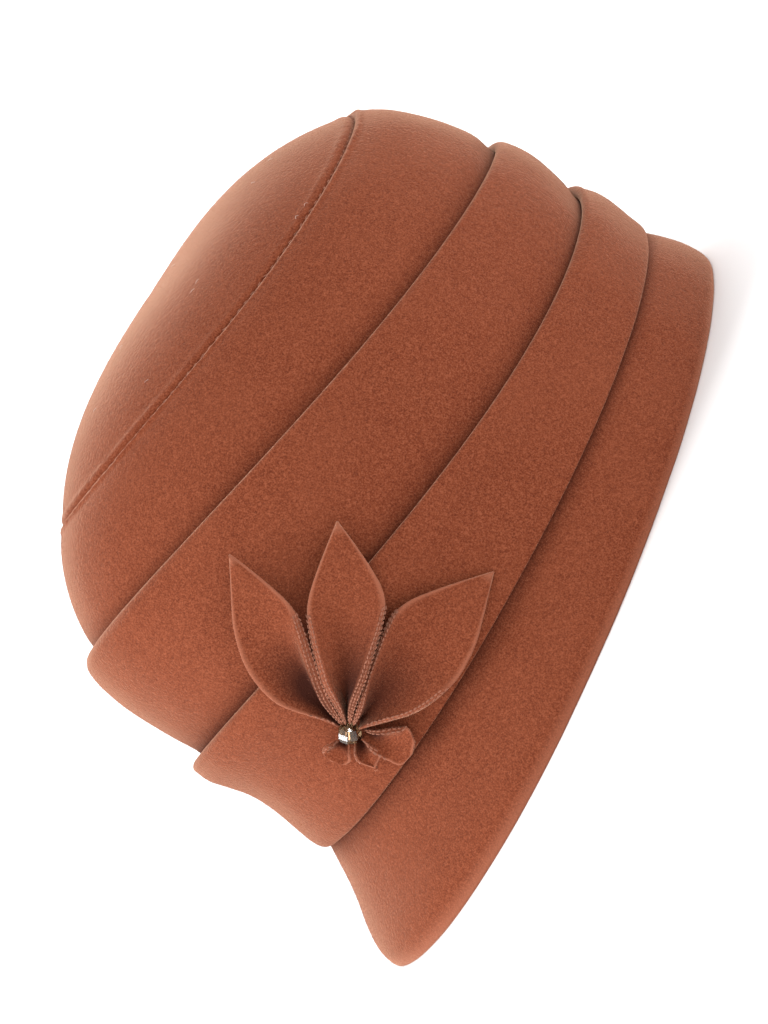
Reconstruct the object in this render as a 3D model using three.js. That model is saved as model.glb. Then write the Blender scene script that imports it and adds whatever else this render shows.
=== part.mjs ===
// A cloche hat of brushed wool cloth: a domed tip, three overlapping crown bands, a brim that flares
// into a short visor at the front, and a three-leaved cloth flower pinched under a faceted glass bead.
// Millimetres, +Z up, the front towards -Y, the wearer's left towards +X.
// The hat stands on its rim, and the origin is the middle of its outline on the surface below it.
import * as THREE from "three";

// Crown and brim
const SEAM_HEIGHT = 145;
const CROWN_LENGTH = 213.5;
const CROWN_WIDTH = 183;
const VISOR_REACH = 29;
const SIDE_REACH = 4.5;
const BACK_REACH = 2.5;
const TIP_RISE = 18;
const TIP_LEAN = 0.13;
const SEAM_DEPTH = 5;

// Cloth and folds
const CLOTH = 1.8;
const FIT = 0.3;
const FRONT_STAND = 6.4;
const BACK_STAND = 2.8;
const FRONT_SLACK = 1.7;
const BACK_SLACK = 0.4;
const HEM_SHARE = 0.28;
const MARGIN_SHARE = 0.15;

// Flower and bead
const PETAL_LENGTH = 66.5;
const PETAL_HALF_WIDTH = 14;
const PETAL_RISE = 5.5;
const LOBE_HALF_WIDTH = 4.6;
const LOBE_RISE = 3.4;
const FLOWER_TURN = THREE.MathUtils.degToRad(22);
const FLOWER_DROP = 0.595;
const FLOWER_SEAT = 2.3;
const BEAD_DIAMETER = 7;
const BEAD_BORE = 1.2;

// How finely the round stretches are divided
const STATIONS = 44;
const BEAD_SIDES = 12;
const CROSS_STEPS = 6;

// The ovals that the panels hang between. Length, width and setback are shares of the crown's length
// and width, the setback towards the back. Front, side and back are heights as shares of the height
// of the tip seam at the front.
const OVAL_SHARES = [
  { name: "tipSeam", length: 0.728, width: 0.728, setback: 0.195, front: 1, side: 0.852, back: 0.794 },
  { name: "upperFold", length: 0.917, width: 0.917, setback: 0.147, front: 0.84, side: 0.608, back: 0.487 },
  { name: "lowerFold", length: 0.98, width: 0.98, setback: 0.103, front: 0.56, side: 0.352, back: 0.308 },
  { name: "brimJoint", length: 1, width: 1, setback: 0.077, front: 0.223, side: 0.17, back: 0.154 },
];

// How far each panel's outer face stands out from a straight line between its two ovals.
// Down is a share of the panel's width, from its upper oval. Front and back are shares of the folds' stand.
const UPPER_FACE = [
  { down: 0.03, front: 0.1, back: 0.4 },
  { down: 0.12, front: 0.32, back: 1 },
  { down: 0.26, front: 0.5, back: 1.5 },
  { down: 0.46, front: 0.6, back: 1.45 },
  { down: 0.66, front: 0.53, back: 1.1 },
  { down: 0.84, front: 0.32, back: 0.6 },
  { down: 0.95, front: 0.08, back: -0.5 },
];
const MIDDLE_FACE = [
  { down: 0.05, front: 0.92, back: 0.66 },
  { down: 0.14, front: 1, back: 0.85 },
  { down: 0.28, front: 0.98, back: 1.02 },
  { down: 0.44, front: 0.89, back: 0.95 },
  { down: 0.62, front: 0.66, back: 0.62 },
  { down: 0.8, front: 0.37, back: 0.2 },
  { down: 0.94, front: 0.08, back: -0.55 },
];
const LOWER_FACE = [
  { down: 0.05, front: 0.92, back: 0.66 },
  { down: 0.14, front: 1, back: 0.95 },
  { down: 0.26, front: 0.7, back: 1.18 },
  { down: 0.42, front: 0.32, back: 1.25 },
  { down: 0.6, front: 0.27, back: 1.1 },
  { down: 0.78, front: 0.43, back: 0.85 },
  { down: 0.91, front: 0.46, back: 0.62 },
  { down: 0.98, front: 0.32, back: 0.35 },
];
const BRIM_FACE = [
  { down: 0, front: 0, back: 0 },
  { down: 0.15, front: -0.02, back: 0.14 },
  { down: 0.33, front: -0.03, back: 0.32 },
  { down: 0.52, front: 0.09, back: 0.42 },
  { down: 0.7, front: 0.3, back: 0.38 },
  { down: 0.87, front: 0.34, back: 0.2 },
  { down: 1, front: 0, back: 0 },
];

// The dome of the tip, from its middle out to the seam, as shares of the seam's oval
const DOME_SHARES = [0.14, 0.34, 0.54, 0.72, 0.86, 0.95];
const DOME_POWER = 3.2;
const SEAM_UPTURN = 0.75;

// A leaf's outline from the pinch to its point. Rib and free are the half widths, as shares of the
// leaf's own, on a side that lies against the next leaf and on a side that lies free. Rise is how far
// the edges stand up from the middle, and pinch how much of the cloth's thickness the stitches leave.
const PETAL_ROWS = [
  { out: 0, rib: 0.095, free: 0.12, rise: 0.85, pinch: 0.25 },
  { out: 0.055, rib: 0.19, free: 0.26, rise: 0.95, pinch: 0.55 },
  { out: 0.14, rib: 0.33, free: 0.5, rise: 1, pinch: 0.9 },
  { out: 0.25, rib: 0.52, free: 0.8, rise: 1, pinch: 1 },
  { out: 0.38, rib: 0.72, free: 0.98, rise: 0.92, pinch: 1 },
  { out: 0.505, rib: 0.94, free: 1, rise: 0.74, pinch: 1 },
  { out: 0.59, rib: 1, free: 0.92, rise: 0.58, pinch: 1 },
  { out: 0.68, rib: 0.84, free: 0.79, rise: 0.42, pinch: 1 },
  { out: 0.785, rib: 0.58, free: 0.55, rise: 0.26, pinch: 1 },
  { out: 0.89, rib: 0.31, free: 0.29, rise: 0.12, pinch: 1 },
  { out: 1, rib: 0.02, free: 0.02, rise: 0, pinch: 1 },
];
const LOBE_ROWS = [
  { out: 0, rib: 0.2, free: 0.2, rise: 0.9, pinch: 0.3 },
  { out: 0.3, rib: 0.62, free: 0.62, rise: 1, pinch: 0.8 },
  { out: 0.62, rib: 0.96, free: 0.96, rise: 0.8, pinch: 1 },
  { out: 0.85, rib: 0.9, free: 0.9, rise: 0.5, pinch: 1 },
  { out: 1, rib: 0.35, free: 0.35, rise: 0.25, pinch: 1 },
];

// The leaves round the bead. Heading is in degrees from level towards the back of the hat, up positive.
// Reach is a share of the petal's length. Above and below are the half widths of the leaf's two sides,
// as shares of its kind's half width, and lift is how far its far end stands out from the crown,
// as a share of the folds' stand at the front.
const PETALS = [
  { name: "petal_upper", heading: 66, reach: 1, above: 0.84, below: 0.56, free: "above", lift: 1.08 },
  { name: "petal_middle", heading: 40.8, reach: 1, above: 0.57, below: 0.88, free: "none", lift: 1.08 },
  { name: "petal_lower", heading: -0.6, reach: 0.93, above: 1, below: 0.88, free: "below", lift: 0.56 },
];
const LOBES = [
  { name: "lobe_front", heading: -176, reach: 0.165, above: 1, below: 1, free: "none", lift: 0.44 },
  { name: "lobe_middle", heading: -114, reach: 0.2, above: 0.86, below: 0.86, free: "none", lift: 0.46 },
  { name: "lobe_back", heading: -64, reach: 0.285, above: 1.28, below: 1.28, free: "none", lift: 0.58 },
];
const LIFT_RUN = 0.3;

// The bead's outline along its bore, as shares of its length and of its radius
const GLASS_RADIUS_SHARES = [
  { along: -0.5, radius: 0.42 },
  { along: -0.3, radius: 0.84 },
  { along: -0.08, radius: 1 },
  { along: 0.08, radius: 1 },
  { along: 0.3, radius: 0.84 },
  { along: 0.5, radius: 0.42 },
];
const BEAD_LENGTH_SHARE = 0.92;

const UP = new THREE.Vector3(0, 0, 1);

function makeOvals() {
  const ovals = {};
  for (const row of OVAL_SHARES) {
    ovals[row.name] = {
      halfLength: (row.length * CROWN_LENGTH) / 2,
      halfWidth: (row.width * CROWN_WIDTH) / 2,
      setback: row.setback * CROWN_LENGTH,
      front: row.front * SEAM_HEIGHT,
      side: row.side * SEAM_HEIGHT,
      back: row.back * SEAM_HEIGHT,
    };
  }
  const joint = ovals.brimJoint;
  ovals.rim = {
    halfLength: joint.halfLength + (VISOR_REACH + BACK_REACH) / 2,
    halfWidth: joint.halfWidth + SIDE_REACH,
    setback: joint.setback + (BACK_REACH - VISOR_REACH) / 2,
    front: 0,
    side: 0,
    back: 0,
  };
  return ovals;
}

const OVALS = makeOvals();

// A turn of 0 is the middle of the front, a quarter turn the wearer's left, a half turn the back.
function ovalPoint(oval, turn) {
  const ahead = Math.cos(turn);
  const tilt = (oval.front - oval.back) / 2;
  const middle = (oval.front + oval.back) / 2;
  return new THREE.Vector3(
    oval.halfWidth * Math.sin(turn),
    oval.setback - oval.halfLength * ahead,
    oval.side + tilt * ahead + (middle - oval.side) * ahead ** 2,
  );
}

function frontShare(turn) {
  return (1 + Math.cos(turn)) / 2;
}

function frontToBack(front, back, turn) {
  return THREE.MathUtils.lerp(back, front, frontShare(turn));
}

// The axes of a panel at one turn: its upper point, its width, and the ways down and out of its face
function panelAxes(panel, turn) {
  const top = ovalPoint(panel.upper, turn);
  const downward = ovalPoint(panel.lower, turn).sub(top);
  const width = downward.length();
  downward.normalize();
  const { halfLength, halfWidth } = panel.lower;
  const level = new THREE.Vector3(Math.sin(turn) / halfWidth, -Math.cos(turn) / halfLength, 0).normalize();
  const outward = level.clone().addScaledVector(downward, -level.dot(downward)).normalize();
  return { top, width, downward, outward, level };
}

// A point of a panel, given in millimetres down from its upper oval and out from its straight line
function panelPoint(panel, turn, down, out) {
  const axes = panelAxes(panel, turn);
  return axes.top.addScaledVector(axes.downward, down).addScaledVector(axes.outward, out);
}

// A point set off from a row of the panel's outer face, in millimetres
function facePoint(panel, turn, row, inward, extraDown = 0) {
  const { width } = panelAxes(panel, turn);
  return panelPoint(panel, turn, row.down * width + extraDown, faceOut(row, turn) - inward);
}

function faceOut(row, turn) {
  return frontToBack(row.front * FRONT_STAND, row.back * BACK_STAND, turn);
}

function slackAt(turn) {
  return frontToBack(FRONT_SLACK, BACK_SLACK, turn);
}

// The thickness of a fold: two layers of cloth and the slack between them
function foldThickness(turn) {
  return 2 * CLOTH + slackAt(turn);
}

const PANELS = {
  upper: { upper: OVALS.tipSeam, lower: OVALS.upperFold, face: UPPER_FACE },
  middle: { upper: OVALS.upperFold, lower: OVALS.lowerFold, face: MIDDLE_FACE },
  lower: { upper: OVALS.lowerFold, lower: OVALS.brimJoint, face: LOWER_FACE },
  brim: { upper: OVALS.brimJoint, lower: OVALS.rim, face: BRIM_FACE },
};

// The margin of a band, which runs down behind the fold of the band below it
function marginPoints(below, turn) {
  const rows = below.face.filter((row) => row.down <= MARGIN_SHARE);
  const outer = rows.map((row) => facePoint(below, turn, row, foldThickness(turn) + FIT));
  const inner = rows.map((row) => facePoint(below, turn, row, foldThickness(turn) + FIT + CLOTH));
  return [...outer, ...inner.reverse()];
}

// The fold along a band's upper edge: round the crest, down the turned-in hem and back up the slack
function foldPoints(panel, turn) {
  const hemRows = panel.face.filter((row) => row.down <= HEM_SHARE);
  const thickness = foldThickness(turn);
  const crest = hemRows[0];
  const arc = [0.75, 0.5, 0.25].map((share) => {
    const angle = share * Math.PI;
    const inward = (thickness / 2) * (1 - Math.cos(angle));
    return facePoint(panel, turn, crest, inward, (-thickness / 2) * Math.sin(angle));
  });
  const slackTop = facePoint(panel, turn, crest, thickness / 2, -slackAt(turn) / 2);
  const hemInner = hemRows.map((row) => facePoint(panel, turn, row, thickness));
  const hemOuter = hemRows.map((row) => facePoint(panel, turn, row, CLOTH + slackAt(turn)));
  return [slackTop, ...hemOuter, ...hemInner.reverse(), ...arc];
}

function outerFace(panel, turn) {
  return panel.face.map((row) => facePoint(panel, turn, row, 0));
}

function innerFace(panel, turn) {
  return panel.face.map((row) => facePoint(panel, turn, row, CLOTH)).reverse();
}

// The tip seam: both cloths turn in and lie against each other along one direction
function seamAxes(turn) {
  const axes = panelAxes(PANELS.upper, turn);
  const outward = axes.outward.clone().addScaledVector(UP, SEAM_UPTURN).normalize();
  const across = axes.downward.clone();
  across.addScaledVector(outward, -across.dot(outward)).normalize();
  return { top: axes.top, outward, across };
}

function seamPoint(turn, across, inward) {
  const axes = seamAxes(turn);
  return axes.top.addScaledVector(axes.across, across).addScaledVector(axes.outward, -inward);
}

function upperBandSection(turn) {
  const gap = FIT / 2;
  return [
    ...outerFace(PANELS.upper, turn),
    ...marginPoints(PANELS.middle, turn),
    ...innerFace(PANELS.upper, turn).slice(0, -1),
    seamPoint(turn, gap + CLOTH, CLOTH),
    seamPoint(turn, gap + CLOTH, SEAM_DEPTH),
    seamPoint(turn, gap, SEAM_DEPTH),
    seamPoint(turn, gap, CLOTH / 4),
  ];
}

function middleBandSection(turn) {
  return [
    ...outerFace(PANELS.middle, turn),
    ...marginPoints(PANELS.lower, turn),
    ...innerFace(PANELS.middle, turn),
    ...foldPoints(PANELS.middle, turn),
  ];
}

// The lowest band ends in an edge that rolls in until it meets the brim.
function lowerBandSection(turn) {
  const { width } = panelAxes(PANELS.lower, turn);
  const lastRow = PANELS.lower.face[PANELS.lower.face.length - 1];
  const edge = [
    facePoint(PANELS.lower, turn, lastRow, CLOTH / 3, (width * (1 - lastRow.down)) / 2),
    panelPoint(PANELS.lower, turn, width - CLOTH / 2, 2 * FIT),
  ];
  return [
    ...outerFace(PANELS.lower, turn),
    ...edge,
    ...innerFace(PANELS.lower, turn).slice(1),
    ...foldPoints(PANELS.lower, turn),
  ];
}

// The brim's upper margin runs up inside the lowest band, and its cut edge lies flat on the rim's plane.
function brimSection(turn) {
  const rows = PANELS.lower.face.slice(-3, -1);
  const outer = rows.map((row) => facePoint(PANELS.lower, turn, row, CLOTH + FIT));
  const inner = rows.map((row) => facePoint(PANELS.lower, turn, row, 2 * CLOTH + FIT)).reverse();
  const axes = panelAxes(PANELS.brim, turn);
  const rimPoint = ovalPoint(OVALS.rim, turn);
  const cutEdge = rimPoint.addScaledVector(axes.level, -CLOTH / axes.level.dot(axes.outward));
  return [
    ...outer,
    ...outerFace(PANELS.brim, turn),
    cutEdge,
    ...innerFace(PANELS.brim, turn).slice(1),
    ...inner,
  ];
}

// One flat list of triangles between rows of points that run round a closed loop
function sideTriangles(count, rowCount, wraps) {
  const triangles = [];
  const strips = wraps ? rowCount : rowCount - 1;
  for (let row = 0; row < strips; row += 1) {
    const next = (row + 1) % rowCount;
    for (let spot = 0; spot < count; spot += 1) {
      const beside = (spot + 1) % count;
      const a = row * count + spot;
      const b = row * count + beside;
      const c = next * count + beside;
      const d = next * count + spot;
      triangles.push(a, c, b, a, d, c);
    }
  }
  return triangles;
}

function geometryOf(points, triangles) {
  const geometry = new THREE.BufferGeometry().setFromPoints(points);
  geometry.setIndex(triangles);
  geometry.computeVertexNormals();
  return geometry;
}

// A closed shell that runs all round the hat, from one closed section at each station
function hoopGeometry(sectionAt) {
  const sections = [];
  for (let station = 0; station < STATIONS; station += 1) {
    sections.push(sectionAt((-station / STATIONS) * 2 * Math.PI));
  }
  const count = sections[0].length;
  return geometryOf(sections.flat(), sideTriangles(count, sections.length, true));
}

// Triangles over a round ring, out from a new point at its middle
function fanTriangles(points, start, count) {
  const sum = points.slice(start, start + count).reduce((total, p) => total.add(p), new THREE.Vector3());
  const middle = points.push(sum.divideScalar(count)) - 1;
  const triangles = [];
  for (let spot = 0; spot < count; spot += 1) {
    triangles.push(middle, start + spot, start + ((spot + 1) % count));
  }
  return triangles;
}

// Triangles over a leaf's bent section, across from its under face to its upper face
function stripTriangles(points, start, count) {
  const last = start + count - 1;
  const triangles = [];
  for (let spot = 0; spot < count / 2 - 1; spot += 1) {
    triangles.push(start + spot, start + spot + 1, last - spot);
    triangles.push(start + spot + 1, last - spot - 1, last - spot);
  }
  return triangles;
}

// A closed body through a row of loops, with the first loop and the last covered
function cappedGeometry(loops, coverTriangles) {
  const count = loops[0].length;
  const points = loops.flat();
  const triangles = sideTriangles(count, loops.length, false);
  const firstCover = coverTriangles(points, 0, count);
  const lastCover = coverTriangles(points, (loops.length - 1) * count, count);
  return geometryOf(points, [...triangles, ...firstCover, ...lastCover.reverse()]);
}

// The tip: rings from the middle of the dome out to the seam, round its turned-in edge and back inside.
// The dome is a little fuller towards the back than towards the front.
function tipGeometry() {
  const seam = OVALS.tipSeam;
  const middle = new THREE.Vector3(0, seam.setback, (seam.front + seam.back) / 2);
  const ring = (pointAt) => {
    const points = [];
    for (let station = 0; station < STATIONS; station += 1) {
      points.push(pointAt((station / STATIONS) * 2 * Math.PI));
    }
    return points;
  };
  const domePoint = (turn, share, inward) => {
    const outward = UP.clone().lerp(seamAxes(turn).outward, share ** 2).normalize();
    const fullness = 1 - TIP_LEAN * share * Math.cos(turn);
    return middle
      .clone()
      .lerp(ovalPoint(seam, turn), share)
      .addScaledVector(UP, TIP_RISE * fullness * (1 - share ** DOME_POWER))
      .addScaledVector(outward, -inward);
  };
  const outerRings = DOME_SHARES.map((share) => ring((turn) => domePoint(turn, share, 0)));
  const innerRings = DOME_SHARES.slice(0, -1).map((share) => ring((turn) => domePoint(turn, share, CLOTH)));
  const gap = -FIT / 2;
  const edgeRings = [
    ring((turn) => seamPoint(turn, gap, CLOTH / 4)),
    ring((turn) => seamPoint(turn, gap, SEAM_DEPTH)),
    ring((turn) => seamPoint(turn, gap - CLOTH, SEAM_DEPTH)),
    ring((turn) => seamPoint(turn, gap - CLOTH, CLOTH)),
  ];
  return cappedGeometry([...outerRings, ...edgeRings, ...innerRings.reverse()], fanTriangles);
}

// A point of the flower: millimetres along the crown towards its back, up its wall, and out from it
function flowerPoint(along, climb, out) {
  const lower = OVALS.brimJoint;
  const paceAround = Math.hypot(
    lower.halfWidth * Math.cos(2 * FLOWER_TURN),
    lower.halfLength * Math.sin(2 * FLOWER_TURN),
  );
  const turn = FLOWER_TURN + along / paceAround;
  const drop = FLOWER_DROP * panelAxes(PANELS.lower, FLOWER_TURN).width;
  return panelPoint(PANELS.lower, turn, drop - climb, out);
}

// One cross-section of a leaf: its under face from one edge to the other, then its upper face back.
// Each side is a half parabola, and the cut edges stand square to the cloth.
function leafSection(across, thickness) {
  const under = [];
  const upper = [];
  for (let step = 0; step <= CROSS_STEPS; step += 1) {
    const share = (2 * step) / CROSS_STEPS - 1;
    const side = share < 0 ? across.above : across.below;
    const slant = Math.hypot(side, 2 * across.rise);
    const lean = (thickness * 2 * across.rise) / slant;
    const stand = (thickness * side) / slant;
    under.push({ side: share * side, height: across.rise * share ** 2 });
    upper.push({
      side: share * (side - lean),
      height: thickness + (across.rise + stand - thickness) * share ** 2,
    });
  }
  return [...under, ...upper.reverse()];
}

function leafGeometry(leaf, rows, halfWidth, rise) {
  const heading = THREE.MathUtils.degToRad(leaf.heading);
  const start = BEAD_DIAMETER / 2 + FIT;
  const length = leaf.reach * PETAL_LENGTH;
  const loops = rows.map((row) => {
    const run = start + row.out * (length - start);
    const lifted = THREE.MathUtils.smoothstep(row.out, 0, LIFT_RUN);
    const floor = THREE.MathUtils.lerp(FLOWER_SEAT, leaf.lift * FRONT_STAND, lifted);
    const spread = (side) => halfWidth * leaf[side] * (leaf.free === side ? row.free : row.rib);
    const across = { above: spread("above"), below: spread("below"), rise: row.rise * rise };
    return leafSection(across, CLOTH * row.pinch).map((spot) =>
      flowerPoint(
        run * Math.cos(heading) + spot.side * Math.sin(heading),
        run * Math.sin(heading) - spot.side * Math.cos(heading),
        floor + spot.height,
      ),
    );
  });
  return cappedGeometry(loops, stripTriangles);
}

// The bead: a round cut bead with flat facets, drilled through, its bore lying along the crown
function beadGeometry() {
  const radius = BEAD_DIAMETER / 2;
  const length = BEAD_DIAMETER * BEAD_LENGTH_SHARE;
  const outline = GLASS_RADIUS_SHARES.map((row) => new THREE.Vector2(row.radius * radius, row.along * length));
  const bore = [
    new THREE.Vector2(BEAD_BORE / 2, length / 2),
    new THREE.Vector2(BEAD_BORE / 2, -length / 2),
  ];
  return new THREE.LatheGeometry([...outline, ...bore, outline[0].clone()], BEAD_SIDES);
}

const felt = new THREE.MeshStandardMaterial({ color: 0x9a5038, roughness: 0.95, metalness: 0 });
const glass = new THREE.MeshStandardMaterial({ color: 0x6b5340, roughness: 0.08, metalness: 0 });

function namedMesh(name, geometry, material) {
  const mesh = new THREE.Mesh(geometry, material.clone());
  mesh.name = name;
  return mesh;
}

const crown = new THREE.Group();
crown.add(namedMesh("crown_tip", tipGeometry(), felt));
crown.add(namedMesh("crown_band_upper", hoopGeometry(upperBandSection), felt));
crown.add(namedMesh("crown_band_middle", hoopGeometry(middleBandSection), felt));
crown.add(namedMesh("crown_band_lower", hoopGeometry(lowerBandSection), felt));

const flower = new THREE.Group();
for (const petal of PETALS) {
  flower.add(namedMesh(petal.name, leafGeometry(petal, PETAL_ROWS, PETAL_HALF_WIDTH, PETAL_RISE), felt));
}
for (const lobe of LOBES) {
  flower.add(namedMesh(lobe.name, leafGeometry(lobe, LOBE_ROWS, LOBE_HALF_WIDTH, LOBE_RISE), felt));
}

const bead = namedMesh("bead", beadGeometry(), glass);
const beadSeat = FLOWER_SEAT + BEAD_DIAMETER / 2;
bead.position.copy(flowerPoint(0, 0, beadSeat));
bead.quaternion.setFromUnitVectors(
  new THREE.Vector3(0, 1, 0),
  flowerPoint(1, 0, beadSeat).sub(flowerPoint(-1, 0, beadSeat)).normalize(),
);
flower.add(bead);

const hat = new THREE.Group();
hat.add(crown);
hat.add(namedMesh("brim", hoopGeometry(brimSection), felt));
hat.add(flower);

// The outline's middle goes to the origin.
const outline = new THREE.Box3().setFromObject(hat, true);
hat.position.set(-(outline.min.x + outline.max.x) / 2, -(outline.min.y + outline.max.y) / 2, -outline.min.z);

export default hat;
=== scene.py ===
"""A cloche hat of brushed wool cloth with a pinched cloth flower and a cut glass bead, on a pale floor.

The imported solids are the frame. Each cloth solid is replaced by a finer shell of the same form, which is
built from the same ovals and faces, and the bead by one with larger facets in the same place over the pinch.
Sizes are in millimetres and are turned into metres when a mesh is made. The studio is laid out in metres.
"""

import math

import bmesh
import bpy
import numpy as np
from mathutils import Matrix, Vector, noise


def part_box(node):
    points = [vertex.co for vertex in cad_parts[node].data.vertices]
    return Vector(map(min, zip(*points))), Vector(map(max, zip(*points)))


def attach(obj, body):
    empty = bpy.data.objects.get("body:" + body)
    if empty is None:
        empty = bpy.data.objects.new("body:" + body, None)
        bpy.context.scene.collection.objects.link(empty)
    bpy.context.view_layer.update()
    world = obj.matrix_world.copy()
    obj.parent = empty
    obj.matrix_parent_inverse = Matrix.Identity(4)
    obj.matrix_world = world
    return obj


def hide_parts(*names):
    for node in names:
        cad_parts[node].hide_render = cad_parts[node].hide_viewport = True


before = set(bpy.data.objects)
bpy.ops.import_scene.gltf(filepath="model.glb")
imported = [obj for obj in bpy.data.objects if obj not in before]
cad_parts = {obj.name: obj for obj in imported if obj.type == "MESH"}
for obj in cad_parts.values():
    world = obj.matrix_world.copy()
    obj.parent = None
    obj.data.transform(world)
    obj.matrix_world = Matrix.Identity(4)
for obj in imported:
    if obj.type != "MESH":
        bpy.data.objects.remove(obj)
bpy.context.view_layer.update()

MM = 0.001
UP = Vector((0, 0, 1))

# Crown and brim
SEAM_HEIGHT = 145.0
CROWN_LENGTH = 213.5
CROWN_WIDTH = 183.0
VISOR_REACH = 29.0
SIDE_REACH = 4.5
BACK_REACH = 2.5
TIP_RISE = 18.0
TIP_LEAN = 0.13
SEAM_DEPTH = 5.0

# Cloth and folds
CLOTH = 1.8
FIT = 0.3
FRONT_STAND = 6.4
BACK_STAND = 2.8
FRONT_SLACK = 1.7
BACK_SLACK = 0.4
HEM_SHARE = 0.28
MARGIN_SHARE = 0.15
CREST_SHARES = (0.83, 0.67, 0.5, 0.33, 0.17)
FOOT_TUCK = CLOTH / 3
FOOT_RISE = CLOTH / 2
SEAM_DITCH = CLOTH / 4

# Flower
PETAL_LENGTH = 66.5
PETAL_HALF_WIDTH = 14.0
PETAL_RISE = 5.5
LOBE_HALF_WIDTH = 4.6
LOBE_RISE = 3.4
FLOWER_TURN = math.radians(22)
FLOWER_DROP = 0.595
FLOWER_SEAT = 2.3
BEAD_DIAMETER = 7.0
BEAD_BORE = 1.2
BEAD_SIDES = 7
BEAD_HEADING = math.radians(36)
BEAD_TURN = math.radians(-31)

# How finely the cloth is divided
STATIONS = 360
LEAF_STEPS = 48
CROSS_STEPS = 14
CORNER_CUTS = 2
CORNER_SHARE = 0.25

# How the cloth swells and ripples, how far the flower calms it and presses it in, how it stands up and
# puckers beside the tip seam, where and how much that is flatter, and how the dome sags
RIDGE_FOOT = 0.4
SWELL_SPAN = 46.0
SWELL_RISE = 1.1
RIPPLE_SPAN = 15.0
RIPPLE_RISE = 0.28
FLOWER_QUIET = 40.0
FLOWER_PRESS = 0.3
TIP_RIDGE = 0.5
BAND_RIDGE = 0.95
PUCKERS = 90
PUCKER_SHARE = 0.16
PUCKER_STRAY = 0.45
PUCKER_SPAN = 7.0
FLAT_TURN = 78.0
FLAT_SPAN = 24.0
FLAT_CALM = 0.75
DOME_SAG = 0.4
DOME_SPAN = 40.0

# The tags of the cloth's points, in the columns after the place: where the pile shows, where the cloth is
# cut and how much painted shade darkens it in a hollow or beside a joint. The shades say how much painted
# shade the shown cloth gets at a joint
TAGS = ("pile", "cut", "hollow_shade")
PILE, CUT, HOLLOW_SHADE = 3, 4, 5
FOOT_SHADE = 0.12
HEAD_SHADE = 0.5

# The leaves' edges: how thick the stitched ribs and the thin cut edges are, as shares of the cloth, how
# light a rib's cut shows, and over what share of the leaf a rib thins out. A petal fills a share of its
# rectangle
PETAL_RIB = 1.55
PETAL_EDGE = 0.5
LOBE_RIB = 1.0
LOBE_EDGE = 0.42
RIB_CUT = 0.4
SEWN_BLEND = 0.06

# Stretches of a leaf over which the lift, the end's width, its curl, its cut and the painted shade in its
# cup come in or fade out. The painted shade's reach and the ribs' stretch are shares across the leaf, the
# others shares along it
LIFT_RUN = (0, 0.3)
END_TAPER = (0.4, 1.0)
CURL_RUN = (0.55, 1.0)
END_RUN = (0.92, 1.0)
HOLLOW_SHADE_RUN = (0.16, 0.62)
HOLLOW_SHADE_REACH = 0.85
RIB_RUN = (0.86, 1.0)

# The nap and the dust: fibres to a square metre, and their sizes. They lie where the pile is more than a
# least value. The nap stands up by a share of its stray, and a fibre of dust is bowed
NAP = dict(density=2.4e6, length=0.45, width=0.045)
NAP_PILE = 0.6
NAP_STAND = 0.7
DUST = dict(density=900.0, length=1.6, width=0.05)
LINT_PILE = 0.95
LINT_BOW = (0.2, 0.9, 0.3)

# Colours of the cloth, its fibres, the glass and the floor, as linear light
FELT_MID = (0.185, 0.042, 0.0165, 1)
FELT_DEEP = (0.115, 0.023, 0.009, 1)
FELT_LIGHT = (0.27, 0.074, 0.034, 1)
# The painted shade colour, for the cloth in the leaves' cups and beside the bands' joints
FELT_HOLLOW_SHADE = (0.028, 0.005, 0.002, 1)
FELT_CUT = (0.33, 0.115, 0.065, 1)
FIBRE = (0.38, 0.135, 0.075, 1)
LINT = (0.75, 0.62, 0.55, 1)
THREAD = (0.34, 0.13, 0.08, 1)
STRAND_DIM = 0.55
SHEEN_TINT = (1.0, 0.62, 0.42, 1)
SMOKE_DARK = (0.12, 0.045, 0.02, 1)
SMOKE_LIGHT = (0.4, 0.28, 0.16, 1)
FLOOR_DIM = (0.88, 0.88, 0.88, 1)
FLOOR_PALE = (0.9, 0.9, 0.9, 1)

# How large the grain of each finish is, how deep the cloth's is, and how much of its speckle is grain
GRAIN_SIZE = 0.48
GRAIN_DEPTH = 0.25
GRAIN_SHARE = 0.8
TUFT_SIZE = 1.3
TUFT_DEPTH = 0.5
BLOTCH_SIZE = 28
STRAND_SIZE = 1.4
CLOUD_SIZE = 2.6
FLOOR_CLOUD_SIZE = 400

# The ovals that the panels hang between: length, width and setback as shares of the crown's length and
# width, then the heights at the front, side and back as shares of the height of the tip seam
OVAL_SHARES = {
    "tip_seam": dict(length=0.728, width=0.728, setback=0.195, front=1, side=0.852, back=0.794),
    "upper_fold": dict(length=0.917, width=0.917, setback=0.147, front=0.84, side=0.608, back=0.487),
    "lower_fold": dict(length=0.98, width=0.98, setback=0.103, front=0.56, side=0.352, back=0.308),
    "brim_joint": dict(length=1, width=1, setback=0.077, front=0.223, side=0.17, back=0.154),
}

# How far a panel's face stands out from the straight line between its ovals: share down the panel,
# then shares of the folds' stand at the front and at the back
UPPER_FACE = [
    (0.03, 0.1, 0.4),
    (0.12, 0.32, 1),
    (0.26, 0.5, 1.5),
    (0.46, 0.6, 1.45),
    (0.66, 0.53, 1.1),
    (0.84, 0.32, 0.6),
    (0.95, 0.08, -0.5),
]
MIDDLE_FACE = [
    (0.05, 0.92, 0.66),
    (0.14, 1, 0.85),
    (0.28, 0.98, 1.02),
    (0.44, 0.89, 0.95),
    (0.62, 0.66, 0.62),
    (0.8, 0.37, 0.2),
    (0.94, 0.08, -0.55),
]
LOWER_FACE = [
    (0.05, 0.92, 0.66),
    (0.14, 1, 0.95),
    (0.26, 0.7, 1.18),
    (0.42, 0.32, 1.25),
    (0.6, 0.27, 1.1),
    (0.78, 0.43, 0.85),
    (0.91, 0.52, 0.74),
    (0.98, 0.42, 0.56),
]
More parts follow.
